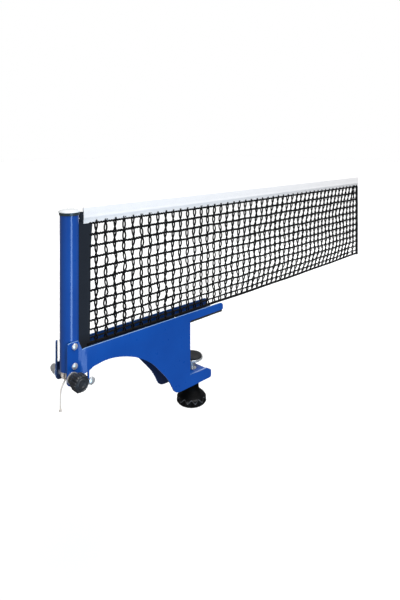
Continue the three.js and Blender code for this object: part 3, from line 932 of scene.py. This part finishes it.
def column_tree():
    """Two threads that cross in every row, as one column, copied along the net and turned at random."""
    tree = GeometryTree("net columns", columns=48, pitch=0.0123, rows=12, row_pitch=0.0105, extra=0.003,
                        thread=0.00098, eye=0.00138, depth=0.0011, first=(0.0, 0.0, 0.0))
    height = tree.given("row_pitch") * tree.given("rows") + tree.given("extra")
    line = tree.node("GeometryNodeCurvePrimitiveLine", {}, {"End": tree.vector(z=height)})[0]
    line = tree.node("GeometryNodeResampleCurve", {}, {"Curve": line, "Count": 118})[0]
    up = tree.parts(tree.node("GeometryNodeInputPosition", {}, {})[0])[2]
    phase = up / tree.given("row_pitch") * math.pi
    threads = []
    for side in (1, -1):
        aside = phase.sine() * tree.given("eye") * side
        out = (phase + math.pi / 2).sine() * tree.given("depth") * side
        shift = tree.vector(aside, out)
        moved = tree.node("GeometryNodeSetPosition", {}, {"Geometry": line, "Offset": shift})[0]
        threads.append(swept(tree, moved, tree.given("thread"), 5))
    pair = tree.nodes.nodes.new("GeometryNodeJoinGeometry")
    for one in threads:
        tree.nodes.links.new(one.socket, pair.inputs[0])
    spots = tree.node("GeometryNodeMeshLine", {}, {
        "Count": tree.given("columns"), "Start Location": tree.given("first"),
        "Offset": tree.vector(tree.given("pitch"))})[0]
    turn = tree.node("FunctionNodeRandomValue", {"data_type": "FLOAT"}, {2: -1.2, 3: 1.0, "Seed": 4})[1]
    far = tree.node("GeometryNodeInputIndex", {}, {})[0] / tree.given("columns")
    turn = turn * (1 - far) + far * 0.5
    copies = tree.node("GeometryNodeInstanceOnPoints", {}, {
        "Points": spots, "Instance": Link(tree, pair.outputs[0]), "Rotation": tree.vector(z=turn)})[0]
    tree.finish(copies, net_thread)
    return tree


def row_tree():
    """One crosswise cord with a stitch's swelling at each loop, copied up the net."""
    tree = GeometryTree("net rows", rows=12, pitch=0.0105, length=0.584, thread=0.00116,
                        first=(0.0, 0.0, 0.0))
    line = tree.node("GeometryNodeCurvePrimitiveLine", {}, {"End": tree.vector(tree.given("length"))})[0]
    line = tree.node("GeometryNodeResampleCurve", {}, {"Curve": line, "Count": 640})[0]
    along = tree.parts(tree.node("GeometryNodeInputPosition", {}, {})[0])[0]
    stitch = (along * (math.tau / 0.0034)).sine()
    serrated = tree.node("GeometryNodeSetPosition", {}, {
        "Geometry": line, "Offset": tree.vector(z=stitch * 0.0004)})[0]
    swollen = tree.node("GeometryNodeSetCurveRadius", {}, {0: serrated, "Radius": stitch * 0.16 + 1.0})[0]
    cord = swept(tree, swollen, tree.given("thread"), 6)
    spots = tree.node("GeometryNodeMeshLine", {}, {
        "Count": tree.given("rows"), "Start Location": tree.given("first"),
        "Offset": tree.vector(z=tree.given("pitch"))})[0]
    copies = tree.node("GeometryNodeInstanceOnPoints", {}, {"Points": spots, "Instance": cord})[0]
    tree.finish(copies, net_thread)
    return tree


first_column = (mesh_low[0] + COLUMN_PITCH * 0.62) * MM
columns = grown("net_columns", column_tree(), columns=COLUMNS, pitch=COLUMN_PITCH * MM, rows=ROWS,
                row_pitch=ROW_PITCH * MM, extra=FORK * MM, first=(first_column, 0.0, NET_LOW * MM))
row_start = mesh_low[0] - 1.0
rows = grown("net_rows", row_tree(), rows=ROWS, pitch=ROW_PITCH * MM, length=(mesh_high[0] - row_start) * MM,
             first=(row_start * MM, 0.0, (NET_LOW + ROW_PITCH) * MM))


# %% [markdown]
# A real net hangs a little slack: its lowest rows crowd together, its columns lean near the tape and
# the bottom cord, and every cord wanders. The same function moves the rows and the columns, so they stay
# knitted together, and it uses sums of sines, so it gives the same net each time.

# %% Let the net settle
def settle(piece):
    """Moves a net piece's points by slow waves, in place."""
    count = len(piece.data.vertices)
    flat = np.empty(count * 3)
    piece.data.vertices.foreach_get("co", flat)
    spot = flat.reshape(-1, 3) / MM
    x, y, z = spot.T
    up = (z - NET_LOW) / (NET_HIGH - NET_LOW)
    out = np.clip((x - mesh_low[0]) / (mesh_high[0] - mesh_low[0]), 0, 1)
    held = np.clip(np.minimum(up, 1 - up) * 6, 0, 1)
    sides = np.clip(np.minimum(out, 1 - out) * 25, 0, 1)
    crowd = -8.2 * np.sin(math.pi * np.clip(up, 0, 1) ** 0.68)
    sag = np.array([bottom_height(v) - BOTTOM_Z for v in x]) * np.clip(1 - up * 3, 0, 1)
    far_part = np.clip((out - 0.3) * 3, 0, 1)
    top_lean = np.clip((up - 0.7) / 0.3, 0, 1) * (6.5 + 4.5 * far_part) * far_part
    low_lean = -np.clip((0.28 - up) / 0.28, 0, 1) * 13.5 * far_part
    lean = (top_lean + low_lean) * np.clip((1 - out) * 30, 0, 1)
    wander = 0.75 * np.sin(x / 9.0 + z / 6.1) + 0.6 * np.sin(x / 31.0 - z / 11.0 + 2.0)
    wander = wander + 0.5 * np.sin(z / 4.3 + x / 17)
    lift = 0.35 * np.sin(x / 13.0 + z / 8.7) + 0.25 * np.sin(x / 5.7 + z / 5.0 + 1.0)
    lifted = np.clip((up - 1) * ROW_PITCH / 0.9, 0, 1) * (1.8 - 1.0 * out)
    billow = (0.5 * np.sin(x / 70.0 + z / 60.0) + 0.25 * np.sin(x / 23.0)) * sides
    x = x + (wander * held + lean) * sides
    z = z + crowd + sag + lift * held * sides
    y = y + billow * held - lifted
    piece.data.vertices.foreach_set("co", (np.stack([x, y, z], axis=1) * MM).ravel())
    piece.data.update()


for piece in (columns, rows):
    settle(piece)
    layer = piece.data.uv_layers.new(name="thread")
    spots = np.array([v.co for v in piece.data.vertices])
    corners = np.empty(len(piece.data.loops), dtype=int)
    piece.data.loops.foreach_get("vertex_index", corners)
    long_way = spots[:, 2] if piece is columns else spots[:, 0]
    round_way = spots[:, 1] / (2 * math.pi * 0.0007)
    layer.data.foreach_set("uv", np.stack([long_way[corners], round_way[corners]], axis=1).ravel())
dress(rows, net_thread, "bracket", "net_mesh")
dress(columns, net_thread, "bracket", "net_mesh")
print("net:", len(rows.data.polygons) + len(columns.data.polygons), "faces")

# %% [markdown]
# ## What the cloth pieces were cut to
# Each strip's flat width is printed where it is made. The net's area is what
# its cords cover, because most of its rectangle is holes.

net_flat = ((mesh_high[0] - mesh_low[0]) * MM, (NET_HIGH - NET_LOW) * MM)
CORD_SHARE = 0.36
net_area = CORD_SHARE * net_flat[0] * net_flat[1]

# %% [markdown]
# ## The studio
# A pale floor lies below the clamp, which in use hangs on the table's edge. Large soft lights keep
# the enamel's highlights long and narrow, as a tall window beside the post would.

# %% Studio
AMBIENT = 0.22
floor_mesh = bpy.data.meshes.new("floor")
FLOOR_Z = -0.42
floor_corners = [(-14, -14, FLOOR_Z), (14, -14, FLOOR_Z), (14, 14, FLOOR_Z), (-14, 14, FLOOR_Z)]
floor_mesh.from_pydata(floor_corners, [], [(0, 1, 2, 3)])
floor = new_object("floor", floor_mesh)
floor_finish = Finish("pale floor", Roughness=0.9)
tint = floor_finish.mix(floor_finish.noise(3.0), rgb(0.9, 0.9, 0.9), rgb(0.92, 0.92, 0.92))
floor_finish.set("Base Color", tint)
floor_mesh.materials.append(floor_finish.material)
floor.visible_diffuse = False
floor.visible_glossy = False

world = bpy.data.worlds.new("studio")
world.use_nodes = True
sky = Tree(world.node_tree)
seen = sky.node("ShaderNodeLightPath", {}, {})[0]
strength = seen * (1.0 - AMBIENT) + AMBIENT
backdrop = world.node_tree.nodes["Background"]
backdrop.inputs[0].default_value = rgb(1, 1, 1)
world.node_tree.links.new(strength.socket, backdrop.inputs[1])
bpy.context.scene.world = world
bpy.context.scene.view_settings.view_transform = "Standard"
bpy.context.scene.view_settings.look = "None"


def soft_light(name, place, target, size, power, tint=(1, 1, 1)):
    """A flat rectangular lamp, turned to face the target."""
    data = bpy.data.lights.new(name, "AREA")
    data.color = tint
    data.shape = "RECTANGLE"
    data.size, data.size_y = size
    data.energy = power
    lamp = bpy.data.objects.new(name, data)
    bpy.context.collection.objects.link(lamp)
    lamp.location = place
    lamp.rotation_euler = (Vector(target) - Vector(place)).to_track_quat("-Z", "Y").to_euler()


def sun(name, direction, strength, softness):
    """A distant lamp; direction points from the object to the lamp."""
    data = bpy.data.lights.new(name, "SUN")
    data.energy = strength
    data.angle = math.radians(softness)
    lamp = bpy.data.objects.new(name, data)
    bpy.context.collection.objects.link(lamp)
    lamp.rotation_euler = Vector(direction).to_track_quat("Z", "Y").to_euler()


sun("overhead", (0.0, -0.6, 1.0), 3.5, 40)
sun("left", (-1.0, -0.3, 0.3), 0.95, 30)
soft_light("strip", (-0.242, -0.6, -0.1), (-0.187, 0, 0.05), (0.19, 0.46), 1.9, (0.5, 0.74, 1.0))
soft_light("behind", (1.9, 1.9, 0.36), (-0.187, 0, 0.15), (3.0, 0.7), 14)
